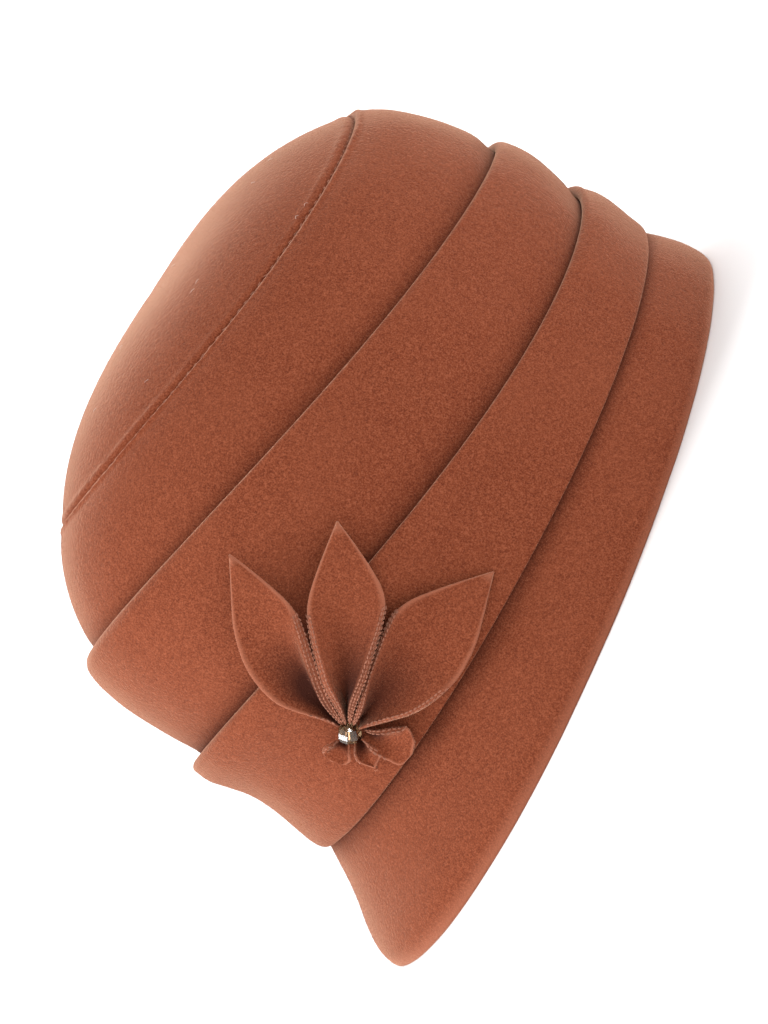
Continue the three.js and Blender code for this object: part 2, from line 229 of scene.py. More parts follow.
BRIM_FACE = [
    (0, 0, 0),
    (0.15, -0.02, 0.14),
    (0.33, -0.03, 0.32),
    (0.52, 0.09, 0.42),
    (0.7, 0.3, 0.38),
    (0.87, 0.34, 0.2),
    (1, 0, 0),
]

# The dome's rings as shares of the way out to the seam, the ring of the ridge beside the seam, how round the
# dome and its broad waves are, and how far the seam's edges turn up
DOME_SHARES = [0.03, 0.08, 0.14, 0.2, 0.27, 0.34, 0.41, 0.48, 0.54]
DOME_SHARES += [0.6, 0.66, 0.72, 0.77, 0.82, 0.86, 0.9, 0.93, 0.955]
RIDGE_SHARE = 0.977
DOME_POWER = 3.2
SAG_POWER = 4
SEAM_UPTURN = 0.75


def lerp(a, b, share):
    return a + (b - a) * share


def smooth_step(value, low, high):
    share = min(1.0, max(0.0, (value - low) / (high - low)))
    return share * share * (3 - 2 * share)


def make_ovals():
    ovals = {}
    for name, row in OVAL_SHARES.items():
        ovals[name] = dict(
            half_length=row["length"] * CROWN_LENGTH / 2,
            half_width=row["width"] * CROWN_WIDTH / 2,
            setback=row["setback"] * CROWN_LENGTH,
            front=row["front"] * SEAM_HEIGHT,
            side=row["side"] * SEAM_HEIGHT,
            back=row["back"] * SEAM_HEIGHT,
        )
    joint = ovals["brim_joint"]
    ovals["rim"] = dict(
        half_length=joint["half_length"] + (VISOR_REACH + BACK_REACH) / 2,
        half_width=joint["half_width"] + SIDE_REACH,
        setback=joint["setback"] + (BACK_REACH - VISOR_REACH) / 2,
        front=0,
        side=0,
        back=0,
    )
    rim = ovals["rim"]
    frame_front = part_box("brim")[0].y / MM
    shift = frame_front - (rim["setback"] - rim["half_length"])
    for oval in ovals.values():
        oval["setback"] += shift
    return ovals


OVALS = make_ovals()


def panel(upper, lower, face):
    return dict(upper=OVALS[upper], lower=OVALS[lower], face=face)


PANELS = dict(
    upper=panel("tip_seam", "upper_fold", UPPER_FACE),
    middle=panel("upper_fold", "lower_fold", MIDDLE_FACE),
    lower=panel("lower_fold", "brim_joint", LOWER_FACE),
    brim=panel("brim_joint", "rim", BRIM_FACE),
)


def oval_point(oval, turn):
    """A turn of 0 is the middle of the front, and a quarter turn is the hat's left, where the flower is."""
    ahead = math.cos(turn)
    tilt = (oval["front"] - oval["back"]) / 2
    middle = (oval["front"] + oval["back"]) / 2
    return Vector(
        (
            oval["half_width"] * math.sin(turn),
            oval["setback"] - oval["half_length"] * ahead,
            oval["side"] + tilt * ahead + (middle - oval["side"]) * ahead**2,
        )
    )


def front_to_back(front, back, turn):
    return lerp(back, front, (1 + math.cos(turn)) / 2)


def panel_axes(piece, turn):
    """A panel's upper point, width, and the ways down, out and level at one turn."""
    top = oval_point(piece["upper"], turn)
    down = oval_point(piece["lower"], turn) - top
    width = down.length
    down.normalize()
    lower = piece["lower"]
    level = Vector((math.sin(turn) / lower["half_width"], -math.cos(turn) / lower["half_length"], 0))
    level.normalize()
    out = (level - down * level.dot(down)).normalized()
    return top, width, down, out, level


def panel_point(piece, turn, down_by, out_by):
    top, _, down, out, _ = panel_axes(piece, turn)
    return top + down * down_by + out * out_by


def face_out(row, turn):
    return front_to_back(row[1] * FRONT_STAND, row[2] * BACK_STAND, turn)


def face_point(piece, turn, row, inward, extra_down=0.0):
    width = panel_axes(piece, turn)[1]
    return panel_point(piece, turn, row[0] * width + extra_down, face_out(row, turn) - inward)


def slack_at(turn):
    return front_to_back(FRONT_SLACK, BACK_SLACK, turn)


def fold_thickness(turn):
    return 2 * CLOTH + slack_at(turn)


def margin_points(below, turn):
    """A band's margin, which runs down behind the fold of the band below it."""
    rows = [row for row in below["face"] if row[0] <= MARGIN_SHARE]
    depth = fold_thickness(turn) + FIT
    outer = [face_point(below, turn, row, depth) for row in rows]
    inner = [face_point(below, turn, row, depth + CLOTH) for row in rows]
    return outer + inner[::-1]


def fold_points(piece, turn):
    """The fold along a band's upper edge: the slack, the turned-in hem and the round crest."""
    rows = [row for row in piece["face"] if row[0] <= HEM_SHARE]
    thickness = fold_thickness(turn)
    crest = rows[0]
    arc = []
    for share in CREST_SHARES:
        angle = share * math.pi
        inward = thickness / 2 * (1 - math.cos(angle))
        arc.append(face_point(piece, turn, crest, inward, -thickness / 2 * math.sin(angle)))
    slack_top = face_point(piece, turn, crest, thickness / 2, -slack_at(turn) / 2)
    hem_inner = [face_point(piece, turn, row, thickness) for row in rows]
    hem_outer = [face_point(piece, turn, row, CLOTH + slack_at(turn)) for row in rows]
    return [slack_top] + hem_outer + hem_inner[::-1] + arc


def outer_face(piece, turn):
    return [face_point(piece, turn, row, 0) for row in piece["face"]]


def inner_face(piece, turn):
    return [face_point(piece, turn, row, CLOTH) for row in piece["face"]][::-1]


def seam_point(turn, across_by, inward):
    """A point by the tip seam, where both cloths turn in against each other."""
    top, _, down, out, _ = panel_axes(PANELS["upper"], turn)
    outward = (out + UP * SEAM_UPTURN).normalized()
    across = (down - outward * down.dot(outward)).normalized()
    return top + across * across_by - outward * inward


def ridge_rise(turn, rise):
    """The cloth beside the tip seam puckers at the stitches, and lies flatter on the hat's left."""
    flat = math.exp(-(((math.degrees(turn) - FLAT_TURN) / FLAT_SPAN) ** 2))
    stray = noise.noise(oval_point(OVALS["tip_seam"], turn) / PUCKER_SPAN)
    pucker = 1 + PUCKER_SHARE * math.sin(turn * PUCKERS) + PUCKER_STRAY * stray
    return rise * (1 - FLAT_CALM * flat) * pucker


def upper_band_section(turn):
    gap = FIT / 2
    piece = PANELS["upper"]
    first, second = piece["face"][:2]
    beside = tuple(lerp(a, b, RIDGE_FOOT) for a, b in zip(first, second))
    ridge = face_point(piece, turn, first, -ridge_rise(turn, BAND_RIDGE))
    shown = [ridge, face_point(piece, turn, beside, 0)]
    turned_in = [
        seam_point(turn, gap + CLOTH, CLOTH),
        seam_point(turn, gap + CLOTH, SEAM_DEPTH),
        seam_point(turn, gap, SEAM_DEPTH),
        seam_point(turn, gap, SEAM_DITCH),
    ]
    hidden = margin_points(PANELS["middle"], turn) + inner_face(piece, turn)[:-1] + turned_in
    return shown + outer_face(piece, turn)[1:], hidden


def middle_band_section(turn):
    piece = PANELS["middle"]
    hidden = margin_points(PANELS["lower"], turn) + inner_face(piece, turn)
    return outer_face(piece, turn), hidden + fold_points(piece, turn)


def lower_band_section(turn):
    piece = PANELS["lower"]
    width = panel_axes(piece, turn)[1]
    last_row = piece["face"][-1]
    half_left = width * (1 - last_row[0]) / 2
    edge = [
        face_point(piece, turn, last_row, FOOT_TUCK, half_left),
        panel_point(piece, turn, width - FOOT_RISE, 2 * FIT),
    ]
    return outer_face(piece, turn) + edge, inner_face(piece, turn)[1:] + fold_points(piece, turn)


def brim_section(turn):
    rows = PANELS["lower"]["face"][-3:-1]
    outer = [face_point(PANELS["lower"], turn, row, CLOTH + FIT) for row in rows]
    inner = [face_point(PANELS["lower"], turn, row, 2 * CLOTH + FIT) for row in rows][::-1]
    _, _, _, out, level = panel_axes(PANELS["brim"], turn)
    cut_edge = oval_point(OVALS["rim"], turn) - level * (CLOTH / level.dot(out))
    shown = outer_face(PANELS["brim"], turn)
    return shown, [cut_edge] + inner_face(PANELS["brim"], turn)[1:] + inner + outer


def cut_corners(rows, closed=True):
    """Rounds a line of points by cutting its corners, as often as CORNER_CUTS says."""
    rows = np.asarray(rows, float)
    for _ in range(CORNER_CUTS):
        ahead = np.roll(rows, -1, axis=0)
        first = rows * (1 - CORNER_SHARE) + ahead * CORNER_SHARE
        second = rows * CORNER_SHARE + ahead * (1 - CORNER_SHARE)
        pairs = np.stack([first, second], axis=1)
        if closed:
            rows = pairs.reshape(-1, rows.shape[1])
        else:
            rows = np.concatenate([rows[:1], pairs[:-1].reshape(-1, rows.shape[1]), rows[-1:]])
    return rows


def grid_faces(rows, columns, wrap_rows):
    """Four-sided faces between rows of points that run round closed loops."""
    faces = []
    for row in range(rows if wrap_rows else rows - 1):
        here = row * columns
        after = (row + 1) % rows * columns
        for column in range(columns):
            beside = (column + 1) % columns
            faces.append((here + column, here + beside, after + beside, after + column))
    return faces


def new_piece(name, rows, faces, tags=()):
    """A smooth mesh with its faces outward. A row is a point in millimetres and a value for each tag."""
    mesh = bpy.data.meshes.new(name)
    mesh.from_pydata([tuple(part * MM for part in row[:3]) for row in rows], [], faces)
    for column, tag in enumerate(tags, start=PILE):
        attribute = mesh.attributes.new(tag, "FLOAT", "POINT")
        attribute.data.foreach_set("value", rows[:, column].astype(np.float32))
    shell = bmesh.new()
    shell.from_mesh(mesh)
    bmesh.ops.recalc_face_normals(shell, faces=shell.faces)
    shell.to_mesh(mesh)
    shell.free()
    mesh.shade_smooth()
    piece = bpy.data.objects.new(name, mesh)
    bpy.context.scene.collection.objects.link(piece)
    return piece


def swell(stack):
    """Moves the shown cloth in and out a little, as soft cloth lies, and presses it in behind the flower."""
    joint = OVALS["brim_joint"]
    pinch = flower_point(0, 0, 0)
    for spot in stack:
        point = Vector(spot[:3])
        ahead = point.y - joint["setback"]
        level = Vector((point.x / joint["half_width"] ** 2, ahead / joint["half_length"] ** 2, 0))
        lift = SWELL_RISE * noise.noise(point / SWELL_SPAN) + RIPPLE_RISE * noise.noise(point / RIPPLE_SPAN)
        near = math.exp(-(((point - pinch).length / FLOWER_QUIET) ** 2))
        spot[:3] = point + level.normalized() * spot[PILE] * lerp(lift, -FLOWER_PRESS, near)
    return stack


def hoop_piece(name, section_at, joint="none", cut_foot=False):
    """A band that runs all round, from one closed section at each station. Its tags say where the pile
    shows, where the cloth is cut, and where it lies hidden in a joint or shown beside one, darkened there by
    painted shade, at its head or at its foot."""
    loops = []
    for station in range(STATIONS):
        shown, hidden = section_at(station / STATIONS * 2 * math.pi)
        rows = [[*p, 1.0, 0.0, 0.0] for p in shown] + [[*p, 0.0, 0.0, 0.0] for p in hidden]
        foot = len(shown) - 1
        if cut_foot:
            rows[foot][CUT] = 1.0
            rows[foot + 1][CUT] = 1.0
            rows[foot + 1][PILE] = 1.0
        # Painted shade: the cloth shown beside the joint is darkened a little, and the hidden cloth in it
        # fully
        if joint == "foot":
            rows[foot][HOLLOW_SHADE] = FOOT_SHADE
            rows[foot + 1][HOLLOW_SHADE] = 1.0
        if joint == "head":
            rows[0][HOLLOW_SHADE] = HEAD_SHADE
            rows[-1][HOLLOW_SHADE] = 1.0
        loops.append(cut_corners(rows))
    stack = swell(np.concatenate(loops))
    faces = grid_faces(STATIONS, len(loops[0]), True)
    return new_piece(name, stack, faces, TAGS)


def tip_piece(name):
    """The domed tip, from its middle out to the seam, round its turned-in edge and back inside."""
    seam = OVALS["tip_seam"]
    middle = Vector((0, seam["setback"], (seam["front"] + seam["back"]) / 2))

    def dome_point(turn, share, inward):
        _, _, _, out, _ = panel_axes(PANELS["upper"], turn)
        outward = UP.lerp((out + UP * SEAM_UPTURN).normalized(), share**2).normalized()
        fullness = 1 - TIP_LEAN * share * math.cos(turn)
        rise = TIP_RISE * fullness * (1 - share**DOME_POWER)
        flat = middle.lerp(oval_point(seam, turn), share)
        sag = DOME_SAG * noise.noise(flat / DOME_SPAN) * (1 - share**SAG_POWER)
        return flat + UP * (rise + sag) - outward * inward

    gap = -FIT / 2
    columns = []
    for station in range(STATIONS):
        turn = station / STATIONS * 2 * math.pi
        outer = [(*dome_point(turn, share, 0), 1.0) for share in DOME_SHARES]
        outer.append((*dome_point(turn, RIDGE_SHARE, -ridge_rise(turn, TIP_RIDGE)), 1.0))
        edge = [
            (*seam_point(turn, gap, SEAM_DITCH), 1.0),
            (*seam_point(turn, gap, SEAM_DEPTH), 0.0),
            (*seam_point(turn, gap - CLOTH, SEAM_DEPTH), 0.0),
            (*seam_point(turn, gap - CLOTH, CLOTH), 0.0),
        ]
        inner = [(*dome_point(turn, share, CLOTH), 0.0) for share in DOME_SHARES][::-1]
        columns.append(cut_corners(outer + edge + inner, closed=False))
    rows = np.stack(columns, axis=1)
    count = rows.shape[0]
    stack = rows.reshape(-1, 4)
    faces = grid_faces(count, STATIONS, False)
    tops = [rows[0].mean(axis=0), rows[-1].mean(axis=0)]
    stack = np.concatenate([stack, tops])
    last = (count - 1) * STATIONS
    for station in range(STATIONS):
        beside = (station + 1) % STATIONS
        faces.append((len(stack) - 2, beside, station))
        faces.append((len(stack) - 1, last + station, last + beside))
    return new_piece(name, stack, faces, TAGS[:1])


# Rows of a leaf: share out from the pinch, half width on a side against another leaf, half width on a free
# side, rise of the edges, and how much of the cloth's thickness the stitches leave
PETAL_ROWS = [
    (0, 0.095, 0.12, 0.85, 0.25),
    (0.055, 0.19, 0.26, 0.95, 0.55),
    (0.14, 0.36, 0.5, 1, 0.9),
    (0.25, 0.59, 0.8, 1, 1),
    (0.38, 0.795, 0.98, 0.92, 1),
    (0.505, 0.965, 1, 0.74, 1),
    (0.6, 1.035, 0.91, 0.57, 1),
    (0.68, 0.94, 0.79, 0.42, 1),
    (0.785, 0.68, 0.55, 0.26, 1),
    (0.89, 0.37, 0.29, 0.12, 1),
    (1, 0.02, 0.02, 0, 1),
]
LOBE_ROWS = [
    (0, 0.32, 0.32, 0.9, 0.3),
    (0.3, 0.76, 0.76, 1, 0.8),
    (0.62, 0.98, 0.98, 0.85, 1),
    (0.85, 0.86, 0.86, 0.6, 1),
    (1, 0.3, 0.3, 0.4, 1),
]
# The leaves: heading in degrees up from the way to the back, reach, half widths above and below, the free
# side, the lift over the crown, how far the end curls up in millimetres, the end's width, where across the
# leaf its painted shade lies, how dark that painted shade is, and how far out each edge is sewn. All the
# rest are shares
PETALS = {
    "petal_upper": dict(
        heading=66, reach=1, above=0.84, below=0.56, free="above", lift=1.08, curl=0, end=1,
        hollow_shade=0.0, shade=1.15, sewn=dict(above=0.1, below=0.62),
    ),
    "petal_middle": dict(
        heading=40.8, reach=1, above=0.57, below=0.88, free="none", lift=1.08, curl=0, end=1,
        hollow_shade=0.45, shade=0.86, sewn=dict(above=0.6, below=0.6),
    ),
    "petal_lower": dict(
        heading=-0.6, reach=0.93, above=1, below=0.88, free="below", lift=0.56, curl=0, end=1,
        hollow_shade=-0.15, shade=0.7, sewn=dict(above=0.62, below=0.46),
    ),
}
LOBES = {
    "lobe_front": dict(
        heading=-172, reach=0.172, above=1.1, below=1.0, free="none", lift=0.62, curl=1.3, end=0.8,
        hollow_shade=0, shade=0.85, sewn=dict(above=0, below=0.7),
    ),
    "lobe_middle": dict(
        heading=-112, reach=0.215, above=1.4, below=0.8, free="none", lift=0.6, curl=1.2, end=0.05,
        hollow_shade=0, shade=0.85, sewn=dict(above=0.5, below=0.55),
    ),
    "lobe_back": dict(
        heading=-63, reach=0.28, above=1.25, below=1.25, free="none", lift=0.66, curl=1.4, end=1.3,
        hollow_shade=-0.45, shade=1, sewn=dict(above=0.75, below=0.5),
    ),
}
# The two kinds of leaf: their rows, sizes and edges
LEAF_KINDS = [
    dict(
        leaves=PETALS, rows=PETAL_ROWS, half_width=PETAL_HALF_WIDTH, rise=PETAL_RISE,
        rib=PETAL_RIB, edge=PETAL_EDGE,
    ),
    dict(
        leaves=LOBES, rows=LOBE_ROWS, half_width=LOBE_HALF_WIDTH, rise=LOBE_RISE,
        rib=LOBE_RIB, edge=LOBE_EDGE,
    ),
]


def flower_point(along, climb, out_by):
    """A point of the flower: along the crown towards its back, up its wall, and out from it."""
    lower = OVALS["brim_joint"]
    pace = math.hypot(
        lower["half_width"] * math.cos(2 * FLOWER_TURN), lower["half_length"] * math.sin(2 * FLOWER_TURN)
    )
    turn = FLOWER_TURN + along / pace
    drop = FLOWER_DROP * panel_axes(PANELS["lower"], FLOWER_TURN)[1]
    return panel_point(PANELS["lower"], turn, drop - climb, out_by)


def leaf_section(widths, edges, rise, thickness):
    """The under face from edge to edge, then the upper face back, with square cut edges."""
    under, upper = [], []
    for step in range(CROSS_STEPS + 1):
        share = 2 * step / CROSS_STEPS - 1
        side = "above" if share < 0 else "below"
        width = widths[side]
        edge = thickness * edges[side]
        slant = math.hypot(width, 2 * rise)
        lean = edge * 2 * rise / slant
        stand = edge * width / slant
        cut = 1.0 if step in (0, CROSS_STEPS) else 0.0
        under.append((share * width, rise * share**2, cut))
        upper.append((share * (width - lean), thickness + (rise + stand - thickness) * share**2, cut))
    return under + upper[::-1]


def leaf_rows(rows):
    """The rows of a leaf, filled in with an even curve through them."""
    table = np.asarray(rows, float)
    outs = np.linspace(0, 1, LEAF_STEPS + 1)
    slopes = np.gradient(table[:, 1:], table[:, 0], axis=0)
    filled = []
    for out in outs:
        span = min(len(table) - 2, int(np.searchsorted(table[:, 0], out, side="right")) - 1)
        start, end = table[span], table[span + 1]
        run = end[0] - start[0]
        share = (out - start[0]) / run
        curve = (
            (2 * share**3 - 3 * share**2 + 1) * start[1:]
            + (share**3 - 2 * share**2 + share) * run * slopes[span]
            + (3 * share**2 - 2 * share**3) * end[1:]
            + (share**3 - share**2) * run * slopes[span + 1]
        )
        filled.append((out, *np.maximum(curve, 0.0)))
    return filled


def cap_faces(base, count):
    """Closes a leaf's end between the points that face each other across its thickness. Cutting the
    corners has shifted the points, so that point n faces point mirror - n."""
    mirror = 1 - 2 ** (CORNER_CUTS + 1)
    first = (mirror + 1) // 2
    faces = []
    for step in range(first, first + count // 2 - 1):
        corners = (step, step + 1, mirror - step - 1, mirror - step)
        faces.append(tuple(base + corner % count for corner in corners))
    return faces


def leaf_edge(leaf, side, out, kind):
    """How thick a leaf's edge is at one place, and how light its cut shows."""
    sewn = leaf["sewn"][side]
    thinning = smooth_step(out, sewn - SEWN_BLEND, sewn + SEWN_BLEND)
    return lerp(kind["rib"], kind["edge"], thinning), lerp(RIB_CUT, 1, thinning)


def leaf_hollow_shade(leaf, out, across):
    """How much painted shade darkens the leaf's cup at one place. It fades on the way out and ends at the
    ribs.
    """
    off = (across - leaf["hollow_shade"]) / HOLLOW_SHADE_REACH
    depth = leaf["shade"] * (1 - smooth_step(out, *HOLLOW_SHADE_RUN)) * max(0.0, 1 - off**2)
    return depth * (1 - smooth_step(abs(across), *RIB_RUN))


def leaf_piece(name, leaf, kind):
    """A cupped leaf, and the lines along its edges: under point, upper point and the next one inwards."""
    heading = math.radians(leaf["heading"])
    start = BEAD_DIAMETER / 2 + FIT
    length = leaf["reach"] * PETAL_LENGTH
    ends = dict(above=(0, -1, -2), below=(CROSS_STEPS, CROSS_STEPS + 1, CROSS_STEPS + 2))
    edge_lines = dict(above=[], below=[])
    loops = []
    for out, rib, free, rise_share, pinch in leaf_rows(kind["rows"]):
        run = start + out * (length - start)
        floor = lerp(FLOWER_SEAT, leaf["lift"] * FRONT_STAND, smooth_step(out, *LIFT_RUN))
        floor += leaf["curl"] * smooth_step(out, *CURL_RUN)
        taper = kind["half_width"] * lerp(1, leaf["end"], smooth_step(out, *END_TAPER))
        tip_cut = smooth_step(out, *END_RUN)
        widths, edges, cuts = {}, {}, {}
        for side in edge_lines:
            widths[side] = taper * leaf[side] * (free if leaf["free"] == side else rib)
            edges[side], cuts[side] = leaf_edge(leaf, side, out, kind)
        loop = []
        for aside, height, cut in leaf_section(widths, edges, rise_share * kind["rise"], CLOTH * pinch):
            side = "above" if aside < 0 else "below"
            along = run * math.cos(heading) + aside * math.sin(heading)
            climb = run * math.sin(heading) - aside * math.cos(heading)
            shown_cut = max(tip_cut, cut * cuts[side])
            # Painted shade in the leaf's cup, kept in the last tag
            shade = leaf_hollow_shade(leaf, out, aside / widths[side])
            loop.append((*flower_point(along, climb, floor + height), 1.0, shown_cut, shade))
        for side, line in edge_lines.items():
            line.append((out, [Vector(loop[spot][:3]) for spot in ends[side]]))
        loops.append(cut_corners(loop))
    count = len(loops[0])
    faces = grid_faces(len(loops), count, False)
    faces += cap_faces(0, count) + cap_faces((len(loops) - 1) * count, count)
    return new_piece(name, np.concatenate(loops), faces, TAGS), edge_lines


# The bead's outline along its bore, as shares of its diameter and of its radius, and which of its faces is
# the facet that looks up and out
BEAD_ROWS = [(-0.46, 0.3), (-0.3, 0.82), (-0.12, 1), (0.12, 1), (0.3, 0.82), (0.46, 0.3)]
UPPER_FACET = 4


def bead_piece(name):
    """The cut bead with flat facets, drilled through, its middle and the way that its upper facet looks."""
    seat = FLOWER_SEAT + BEAD_DIAMETER / 2
    centre = flower_point(0, 0, seat)
    along = (flower_point(1, 0, seat) - flower_point(-1, 0, seat)).normalized()
    climb = flower_point(0, 1, seat) - flower_point(0, -1, seat)
    climb = (climb - along * climb.dot(along)).normalized()
    bore = along * math.cos(BEAD_HEADING) + climb * math.sin(BEAD_HEADING)
    out = flower_point(0, 0, seat + 1) - centre
    out = (out - along * out.dot(along) - climb * out.dot(climb)).normalized()
    side = out.cross(bore)
    radius = BEAD_DIAMETER / 2
    outline = [(place * BEAD_DIAMETER, share * radius) for place, share in BEAD_ROWS]
    outline += [(place * BEAD_DIAMETER, BEAD_BORE / 2) for place in (BEAD_ROWS[-1][0], BEAD_ROWS[0][0])]
    points = []
    for corner in range(BEAD_SIDES):
        turn = BEAD_TURN + (corner - 0.5) / BEAD_SIDES * 2 * math.pi
        radial = out * math.cos(turn) + side * math.sin(turn)
        points += [centre + bore * place + radial * across for place, across in outline]
    faces = grid_faces(BEAD_SIDES, len(outline), True)
    piece = new_piece(name, points, faces)
    piece.data.shade_flat()
    corners = [points[corner] for corner in faces[UPPER_FACET]]
    normal = (corners[2] - corners[0]).cross(corners[3] - corners[1]).normalized()
    return piece, centre, normal if normal.dot(out) > 0 else -normal


# Rows of chain stitches: the leaf, its side, how far across the cut edge, past 1 on the upper face beside
# it, and the stretch of the leaf that they follow
STITCH_ROWS = [
    ("petal_upper", "below", 0.14, 0.02, 0.62),
    ("petal_upper", "below", 0.48, 0.02, 0.61),
    ("petal_upper", "below", 0.82, 0.02, 0.62),
    ("petal_upper", "above", 1.0, 0.02, 0.13),
    ("petal_middle", "above", 0.14, 0.02, 0.6),
    ("petal_middle", "above", 0.48, 0.02, 0.59),
    ("petal_middle", "above", 0.82, 0.02, 0.6),
    ("petal_middle", "below", 0.14, 0.02, 0.6),
    ("petal_middle", "below", 0.48, 0.02, 0.59),
    ("petal_middle", "below", 0.82, 0.02, 0.6),
    ("petal_lower", "above", 0.14, 0.02, 0.62),
    ("petal_lower", "above", 0.48, 0.02, 0.61),
    ("petal_lower", "above", 0.82, 0.02, 0.62),
    ("petal_lower", "below", 0.6, 0.03, 0.44),
    ("petal_lower", "below", 1.15, 0.06, 0.42),
    ("lobe_front", "below", 0.7, 0.05, 0.7),
    ("lobe_middle", "above", 0.6, 0.05, 0.5),
    ("lobe_middle", "below", 0.6, 0.05, 0.55),
    ("lobe_back", "above", 0.4, 0.05, 0.78),
    ("lobe_back", "above", 1.0, 0.05, 0.76),
    ("lobe_back", "below", 0.4, 0.05, 0.5),
    ("lobe_back", "below", 0.95, 0.05, 0.5),
]
RIB_STITCH = dict(length=1.3, width=0.46, pitch=1.45)
STITCH_STRAY = 0.3

# Stitches in the ditch of the tip seam
SEAM_STITCH = dict(length=1.7, width=0.4, pitch=3.4)
SEAM_STITCH_DEPTH = 0.35


def line_object(name, points, edges):
    mesh = bpy.data.meshes.new(name)
    mesh.from_pydata([tuple(point * MM) for point in points], edges, [])
    lines = bpy.data.objects.new(name, mesh)
    bpy.context.scene.collection.objects.link(lines)
    return lines


def stitch_lines(edge_lines):
    """The lines that the stitches follow, as one mesh of edges. Every other row starts half a stitch on."""
    points, edges = [], []
    for number, (leaf, side, across, begin, end) in enumerate(STITCH_ROWS):
        line = []
        for out, (under, upper, inner) in edge_lines[leaf][side]:
            if begin <= out <= end:
                line.append(under.lerp(upper, across) if across <= 1 else upper.lerp(inner, across - 1))
        if number % 2:
            line[0] = line[0] + (line[1] - line[0]).normalized() * RIB_STITCH["pitch"] / 2
        edges += [(len(points) + spot, len(points) + spot + 1) for spot in range(len(line) - 1)]
        points += line
    return line_object("leaf_stitch_lines", points, edges)


def seam_line():
    """The line that the stitches of the tip seam follow, all round."""
    turns = [station / STATIONS * 2 * math.pi for station in range(STATIONS)]
    points = [seam_point(turn, 0, SEAM_STITCH_DEPTH) for turn in turns]
    edges = [(station, (station + 1) % STATIONS) for station in range(STATIONS)]
    return line_object("tip_seam_line", points, edges)


class Nodes:
    """A short way to write nodes. What a socket is given is linked if it is a socket, and set if not."""

    def __init__(self, tree):
        self.tree = tree

    def node(self, kind, sockets, **settings):
        made = self.tree.nodes.new(kind)
        for key, value in settings.items():
            setattr(made, key, value)
        for key, value in sockets.items():
            if isinstance(value, bpy.types.NodeSocket):
                self.tree.links.new(value, made.inputs[key])
            else:
                made.inputs[key].default_value = value
        return made

    def math(self, operation, first, second):
        return self.node("ShaderNodeMath", {0: first, 1: second}, operation=operation).outputs[0]


class ShapeTree(Nodes):
    """A geometry node tree with named inputs."""

    def __init__(self, name, inputs):
        super().__init__(bpy.data.node_groups.new(name, "GeometryNodeTree"))
        sides = self.tree.interface
        sides.new_socket("Geometry", in_out="INPUT", socket_type="NodeSocketGeometry")
        self.names = {}
        for label, kind in inputs.items():
            made = sides.new_socket(label, in_out="INPUT", socket_type="NodeSocket" + kind)
            self.names[label] = made.identifier
        sides.new_socket("Geometry", in_out="OUTPUT", socket_type="NodeSocketGeometry")
        self.given = self.node("NodeGroupInput", {}).outputs
        self.result = self.node("NodeGroupOutput", {})

    def attribute(self, name):
        return self.node("GeometryNodeInputNamedAttribute", {"Name": name}, data_type="FLOAT").outputs[0]

    def vector(self, operation, sockets):
        return self.node("ShaderNodeVectorMath", sockets, operation=operation).outputs[0]

    def combine(self, x, y, z):
        return self.node("ShaderNodeCombineXYZ", {"X": x, "Y": y, "Z": z}).outputs[0]

    def random(self, low, high, sockets):
        sockets = {"Min": low, "Max": high, **sockets}
        return self.node("FunctionNodeRandomValue", sockets, data_type="FLOAT_VECTOR").outputs[0]

    def align(self, axis, sockets):
        return self.node("FunctionNodeAlignEulerToVector", sockets, axis=axis).outputs[0]

    def scaled(self, shape, size):
        return self.node("GeometryNodeTransform", {"Geometry": shape, "Scale": size}).outputs[0]

    def scatter(self, least_pile, density):
        """Spots at random on the cloth, where its pile is more than the least."""
        sockets = {"A": self.attribute("pile"), "B": least_pile}
        shows = self.node("FunctionNodeCompare", sockets, data_type="FLOAT", operation="GREATER_THAN")
        sockets = {
            "Mesh": self.given["Geometry"],
            "Selection": shows.outputs[0],
            "Density": density,
            "Seed": self.given["Seed"],
        }
        return self.node("GeometryNodeDistributePointsOnFaces", sockets, distribute_method="RANDOM").outputs

    def finish(self, spots, shape, turned):
        """Sets the shape on the spots, makes it real, gives it the material and sends it out."""
        sockets = {"Points": spots["Points"], "Instance": shape, "Rotation": turned}
        placed = self.node("GeometryNodeInstanceOnPoints", sockets)
        real = self.node("GeometryNodeRealizeInstances", {"Geometry": placed.outputs[0]})
        sockets = {"Geometry": real.outputs[0], "Material": self.given["Material"]}
        painted = self.node("GeometryNodeSetMaterial", sockets)
        self.tree.links.new(painted.outputs[0], self.result.inputs["Geometry"])
        return self


STITCH_INPUTS = {"Length": "Float", "Width": "Float", "Pitch": "Float", "Material": "Material"}
SCATTER_INPUTS = {
    "Density": "Float",
    "Length": "Float",
    "Width": "Float",
    "Seed": "Int",
    "Material": "Material",
}


def stitch_tree():
    """Sets short rounded stitches end to end along the lines."""
    t = ShapeTree("stitches", STITCH_INPUTS)
    curve = t.node("GeometryNodeMeshToCurve", {"Mesh": t.given["Geometry"]})
    sockets = {"Curve": curve.outputs[0], "Length": t.given["Pitch"]}
    spots = t.node("GeometryNodeCurveToPoints", sockets, mode="LENGTH").outputs
    ball = t.node("GeometryNodeMeshIcoSphere", {"Radius": 0.5, "Subdivisions": 2})
    size = t.combine(t.given["Width"], t.given["Width"], t.given["Length"])
    stray = t.random((-STITCH_STRAY,) * 3, (STITCH_STRAY,) * 3, {})
    lean = t.vector("ADD", {0: spots["Tangent"], 1: stray})
    return t.finish(spots, t.scaled(ball.outputs[0], size), t.align("Z", {"Vector": lean}))


